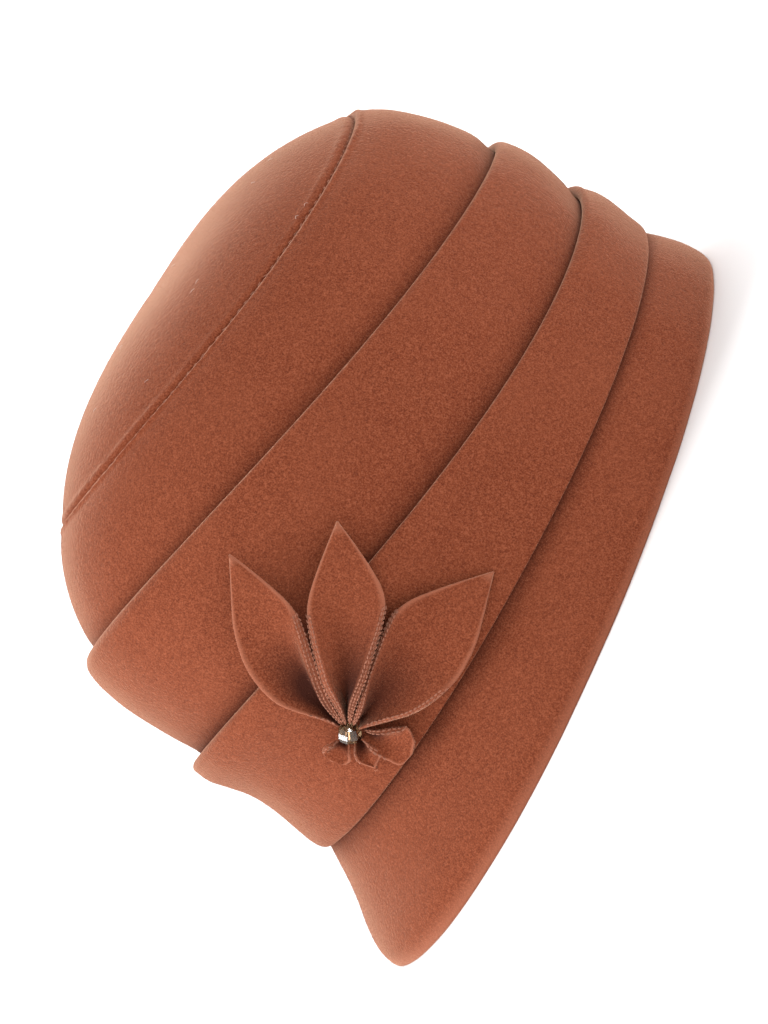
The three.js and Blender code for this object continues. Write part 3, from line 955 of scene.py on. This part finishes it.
def nap_tree():
    """Scatters short flat fibres over the cloth where its pile shows, fewer where painted shade darkens it,
    each leaning its own way.
    """
    t = ShapeTree("nap", SCATTER_INPUTS)
    # Fewer fibres where painted shade lies, so that they do not lighten it
    sockets = {0: 1.0, 1: t.attribute("hollow_shade")}
    unshaded_share = t.node("ShaderNodeMath", sockets, operation="SUBTRACT", use_clamp=True)
    density = t.math("MULTIPLY", unshaded_share.outputs[0], t.given["Density"])
    spots = t.scatter(NAP_PILE, density)
    flat = t.node("GeometryNodeMeshCircle", {"Vertices": 3, "Radius": 1.0}, fill_type="NGON")
    size = t.combine(t.given["Length"], t.given["Width"], 1.0)
    stray = t.random((-1.0, -1.0, -1.0), (1.0, 1.0, 1.0), {"Seed": t.given["Seed"]})
    stand = t.vector("SCALE", {0: spots["Normal"], "Scale": NAP_STAND})
    lean = t.vector("ADD", {0: stand, 1: stray})
    return t.finish(spots, t.scaled(flat.outputs[0], size), t.align("X", {"Vector": lean}))


def lint_tree():
    """Drops a few long pale fibres of dust flat on the cloth."""
    t = ShapeTree("lint", SCATTER_INPUTS)
    spots = t.scatter(LINT_PILE, t.given["Density"])
    half = t.math("MULTIPLY", t.given["Length"], 0.5)
    start = t.combine(half, 0.0, 0.0)
    back = t.vector("SCALE", {0: start, "Scale": -1.0})
    bow = t.vector("MULTIPLY", {0: start, 1: LINT_BOW})
    bent = t.vector("ADD", {0: bow, 1: t.combine(0.0, half, half)})
    sockets = {"Resolution": 6, "Start": back, "Middle": bent, "End": start}
    curve = t.node("GeometryNodeCurveQuadraticBezier", sockets)
    ring = t.node("GeometryNodeCurvePrimitiveCircle", {"Resolution": 4, "Radius": t.given["Width"]})
    sockets = {"Curve": curve.outputs[0], "Profile Curve": ring.outputs[0]}
    strand = t.node("GeometryNodeCurveToMesh", sockets)
    spin = t.random((0.0, 0.0, 0.0), (0.0, 0.0, math.tau), {"Seed": t.given["Seed"]})
    turned = t.align("Z", {"Rotation": spin, "Vector": spots["Normal"]})
    return t.finish(spots, strand.outputs[0], turned)


def grow(source, name, tree, values):
    """Runs a tree on an object and gives what it makes as a plain piece, which rides with the hat."""
    modifier = source.modifiers.new(tree.tree.name, "NODES")
    modifier.node_group = tree.tree
    for label, value in values.items():
        modifier[tree.names[label]] = value
    bpy.context.view_layer.update()
    shaped = source.evaluated_get(bpy.context.evaluated_depsgraph_get())
    mesh = bpy.data.meshes.new_from_object(shaped)
    mesh.name = name
    source.modifiers.remove(modifier)
    piece = bpy.data.objects.new(name, mesh)
    bpy.context.scene.collection.objects.link(piece)
    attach(piece, "root")
    return piece


class Paint(Nodes):
    """The node tree of one material."""

    def __init__(self, name):
        self.material = bpy.data.materials.new(name)
        self.material.use_nodes = True
        super().__init__(self.material.node_tree)
        self.tree.nodes.clear()
        self.point = self.node("ShaderNodeTexCoord", {}).outputs["Object"]

    def noise(self, size, detail=2.0, distortion=0.0):
        """Noise whose grain is about this size in millimetres."""
        scale = 1 / (size * MM)
        sockets = {"Vector": self.point, "Scale": scale, "Detail": detail, "Distortion": distortion}
        return self.node("ShaderNodeTexNoise", sockets).outputs["Fac"]

    def spread(self, value, low, high, start=0.0, end=1.0):
        sockets = {"Value": value, "From Min": low, "From Max": high, "To Min": start, "To Max": end}
        return self.node("ShaderNodeMapRange", sockets).outputs["Result"]

    def mix(self, share, first, second):
        return self.node("ShaderNodeMix", {0: share, 6: first, 7: second}, data_type="RGBA").outputs[2]

    def attribute(self, name):
        return self.node("ShaderNodeAttribute", {}, attribute_name=name).outputs["Fac"]

    def bump(self, strength, depth, sockets):
        sockets = {"Strength": strength, "Distance": depth * MM, **sockets}
        return self.node("ShaderNodeBump", sockets).outputs[0]

    def finish(self, sockets):
        shader = self.node("ShaderNodeBsdfPrincipled", sockets)
        self.node("ShaderNodeOutputMaterial", {"Surface": shader.outputs[0]})
        return self.material


def felt_material(name):
    """Milled wool with a short brushed pile: speckled fibre colour, soft blotches, lighter cut edges, and
    painted shade with less sheen in the leaves' cups and beside the joints.
    """
    p = Paint(name)
    grain = p.noise(GRAIN_SIZE)
    tufts = p.noise(TUFT_SIZE, detail=1, distortion=0.3)
    blotch = p.noise(BLOTCH_SIZE)
    fine = p.math("MULTIPLY", grain, GRAIN_SHARE)
    speckle = p.math("ADD", fine, p.math("MULTIPLY", tufts, 1 - GRAIN_SHARE))
    dark = p.mix(p.spread(speckle, low=0.34, high=0.5), FELT_DEEP, FELT_MID)
    cloth = p.mix(p.spread(speckle, low=0.5, high=0.66), dark, FELT_LIGHT)
    worn = p.mix(p.spread(blotch, low=0.45, high=0.75, end=0.16), cloth, FELT_LIGHT)
    cut = p.spread(p.attribute("cut"), low=0.15, high=0.8, end=0.7)
    # Painted shade: where its tag is set, the cloth is mixed towards the painted shade colour and loses its
    # sheen
    hollow_shade = p.attribute("hollow_shade")
    shaded_cloth = p.mix(p.spread(hollow_shade, low=0.0, high=0.85, end=0.96), worn, FELT_HOLLOW_SHADE)
    pile = p.bump(0.8, GRAIN_DEPTH, {"Height": grain})
    sockets = {
        "Base Color": p.mix(cut, shaded_cloth, FELT_CUT),
        "Roughness": 0.95,
        "Specular IOR Level": 0.15,
        "Sheen Weight": p.spread(hollow_shade, low=0.0, high=0.7, start=0.65, end=0.02),
        "Sheen Roughness": 0.32,
        "Sheen Tint": SHEEN_TINT,
        "Normal": p.bump(0.35, TUFT_DEPTH, {"Height": tufts, "Normal": pile}),
    }
    return p.finish(sockets)


def strand_material(name, colour):
    """Single fibres and threads: matt, with a soft sheen, and darker here and there."""
    p = Paint(name)
    dim = tuple(channel * STRAND_DIM for channel in colour[:3]) + (1,)
    sockets = {
        "Base Color": p.mix(p.spread(p.noise(STRAND_SIZE), low=0.3, high=0.7), dim, colour),
        "Roughness": 0.85,
        "Specular IOR Level": 0.2,
        "Sheen Weight": 0.3,
        "Sheen Tint": SHEEN_TINT,
    }
    return p.finish(sockets)


def glass_material(name):
    """Smoky brown cut glass with darker clouds in it."""
    p = Paint(name)
    cloud = p.spread(p.noise(CLOUD_SIZE, detail=1), low=0.38, high=0.62)
    sockets = {
        "Base Color": p.mix(cloud, SMOKE_DARK, SMOKE_LIGHT),
        "Roughness": 0.02,
        "IOR": 1.54,
        "Transmission Weight": 0.85,
    }
    return p.finish(sockets)


def floor_material(name):
    p = Paint(name)
    tone = p.spread(p.noise(FLOOR_CLOUD_SIZE), low=0.3, high=0.7)
    return p.finish({"Base Color": p.mix(tone, FLOOR_DIM, FLOOR_PALE), "Roughness": 0.8})


def stand_for(piece, node, material):
    """The piece rides with the hat, takes its material and is shown instead of the plain solid."""
    piece.data.materials.append(material)
    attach(piece, "root")
    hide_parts(node)


def fibre_values(row, seed, material):
    return {
        "Density": row["density"],
        "Length": row["length"] * MM,
        "Width": row["width"] * MM,
        "Seed": seed,
        "Material": material,
    }


def stitch_values(row, material):
    return {
        "Length": row["length"] * MM,
        "Width": row["width"] * MM,
        "Pitch": row["pitch"] * MM,
        "Material": material,
    }


def make_cloth_pieces():
    """The cloth pieces by the solids that they stand for, and the lines along the leaves' edges."""
    cloths = {
        "crown_tip": tip_piece("tip_cloth"),
        "crown_band_upper": hoop_piece("band_upper_cloth", upper_band_section, joint="foot"),
        "crown_band_middle": hoop_piece("band_middle_cloth", middle_band_section, joint="foot"),
        "crown_band_lower": hoop_piece("band_lower_cloth", lower_band_section),
        "brim": hoop_piece("brim_cloth", brim_section, joint="head", cut_foot=True),
    }
    edge_lines = {}
    for kind in LEAF_KINDS:
        for node, leaf in kind["leaves"].items():
            cloths[node], edge_lines[node] = leaf_piece(node + "_cloth", leaf, kind)
    return cloths, edge_lines


def make_hat():
    """Every piece of the hat, and the bead's middle and upper facet."""
    felt = felt_material("felt")
    fibre = strand_material("felt_fibre", FIBRE)
    thread = strand_material("felt_thread", THREAD)
    lint = strand_material("lint", LINT)
    nap = nap_tree()
    cloths, edge_lines = make_cloth_pieces()
    for seed, (node, cloth) in enumerate(cloths.items()):
        grow(cloth, cloth.name.replace("_cloth", "_nap"), nap, fibre_values(NAP, seed, fibre))
        if node == "crown_tip":
            grow(cloth, "tip_lint", lint_tree(), fibre_values(DUST, seed, lint))
        stand_for(cloth, node, felt)
    sewing = stitch_tree()
    for name, line, row in (
        ("rib_stitches", stitch_lines(edge_lines), RIB_STITCH),
        ("seam_stitches", seam_line(), SEAM_STITCH),
    ):
        stitches = grow(line, name, sewing, stitch_values(row, thread))
        stitches.data.shade_smooth()
        bpy.data.objects.remove(line)
    bead, centre, facet = bead_piece("bead_cut")
    stand_for(bead, "bead", glass_material("bead_glass"))
    return centre, facet


# The camera: the hat is seen from its left and front, and the picture is turned so that its top is at the
# left. The aim is in millimetres, and the sight is how far off the camera still sees
VIEW_AZIMUTH = math.radians(60)
VIEW_ELEVATION = math.radians(9)
VIEW_DISTANCE = 1.8
VIEW_SCALE = 0.30 * MM
PICTURE_HEIGHT = 1024
SENSOR = 36.0
PICTURE_TURN = (0.4305, 0.9026)
AIM_SETBACK = -6.03
AIM_HEIGHT = 68.85
AIM_SHIFT = (6.8, -10.45)
SIGHT = 100

# The lights that are aimed at the hat: how far each one is to the right, up and towards the camera, its size
# and its power. The glint is mirrored by the bead's upper facet, and the backdrop lights the floor behind
LIGHTS = {
    "key": dict(right=-1.48, up=0.72, near=0.26, size=0.8, power=25),
    "fill": dict(right=1.5, up=0.6, near=0.1, size=1.0, power=6.5),
    "front": dict(right=0, up=0.3, near=1.75, size=0.9, power=5.5),
}
GLINT = dict(distance=1.6, size=0.16, power=1.6)
BACKDROP = dict(distance=3.2, up=2.2, size=3.0, power=160)
HAT_MIDDLE = Vector((0, 0, 0.07))
DAYLIGHT = 1.0
FLOOR_REACH = 12.0


def view_axes(azimuth, elevation):
    """The ways to the right, up and towards the camera."""
    ahead = math.cos(elevation)
    back = Vector((math.sin(azimuth) * ahead, -math.cos(azimuth) * ahead, math.sin(elevation)))
    right = Vector((math.cos(azimuth), math.sin(azimuth), 0))
    return right, back.cross(right), back


def make_camera():
    right, up, back = view_axes(VIEW_AZIMUTH, VIEW_ELEVATION)
    cosine, sine = PICTURE_TURN
    across = right * cosine - up * sine
    upward = right * sine + up * cosine
    aim = Vector((0, AIM_SETBACK, AIM_HEIGHT))
    aim += right * AIM_SHIFT[0] + up * AIM_SHIFT[1]
    data = bpy.data.cameras.new("camera")
    data.sensor_width = SENSOR
    data.lens = SENSOR * VIEW_DISTANCE / (PICTURE_HEIGHT * VIEW_SCALE)
    data.clip_end = SIGHT
    camera = bpy.data.objects.new("camera", data)
    place = Matrix((across, upward, back)).transposed().to_4x4()
    place.translation = aim * MM + back * VIEW_DISTANCE
    camera.matrix_world = place
    bpy.context.scene.collection.objects.link(camera)
    bpy.context.scene.camera = camera


def area_light(name, spot, target, row):
    data = bpy.data.lights.new(name, "AREA")
    data.shape = "DISK"
    data.size = row["size"]
    data.energy = row["power"]
    lamp = bpy.data.objects.new(name, data)
    lamp.location = spot
    lamp.rotation_mode = "QUATERNION"
    lamp.rotation_quaternion = (target - spot).to_track_quat("-Z", "Y")
    bpy.context.scene.collection.objects.link(lamp)


def make_lights(bead_centre, bead_facet):
    right, up, back = view_axes(VIEW_AZIMUTH, VIEW_ELEVATION)
    for name, row in LIGHTS.items():
        spot = HAT_MIDDLE + right * row["right"] + up * row["up"] + back * row["near"]
        area_light(name, spot, HAT_MIDDLE, row)
    mirrored = bead_facet * (2 * bead_facet.dot(back)) - back
    bead_spot = bead_centre * MM
    area_light("glint", bead_spot + mirrored * GLINT["distance"], bead_spot, GLINT)
    behind = HAT_MIDDLE - back * BACKDROP["distance"]
    area_light("backdrop", behind + up * BACKDROP["up"], behind, BACKDROP)
    world = bpy.data.worlds.new("studio")
    world.use_nodes = True
    daylight = world.node_tree.nodes["Background"].inputs
    daylight["Color"].default_value = (1, 1, 1, 1)
    daylight["Strength"].default_value = DAYLIGHT
    bpy.context.scene.world = world


def make_floor():
    mesh = bpy.data.meshes.new("floor")
    signs = ((-1, -1), (1, -1), (1, 1), (-1, 1))
    corners = [(x * FLOOR_REACH, y * FLOOR_REACH, 0) for x, y in signs]
    mesh.from_pydata(corners, [], [(0, 1, 2, 3)])
    mesh.materials.append(floor_material("floor_paint"))
    floor = bpy.data.objects.new("floor", mesh)
    bpy.context.scene.collection.objects.link(floor)


bead_centre, bead_facet = make_hat()
make_camera()
make_lights(bead_centre, bead_facet)
make_floor()
bpy.context.scene.view_settings.view_transform = "Standard"
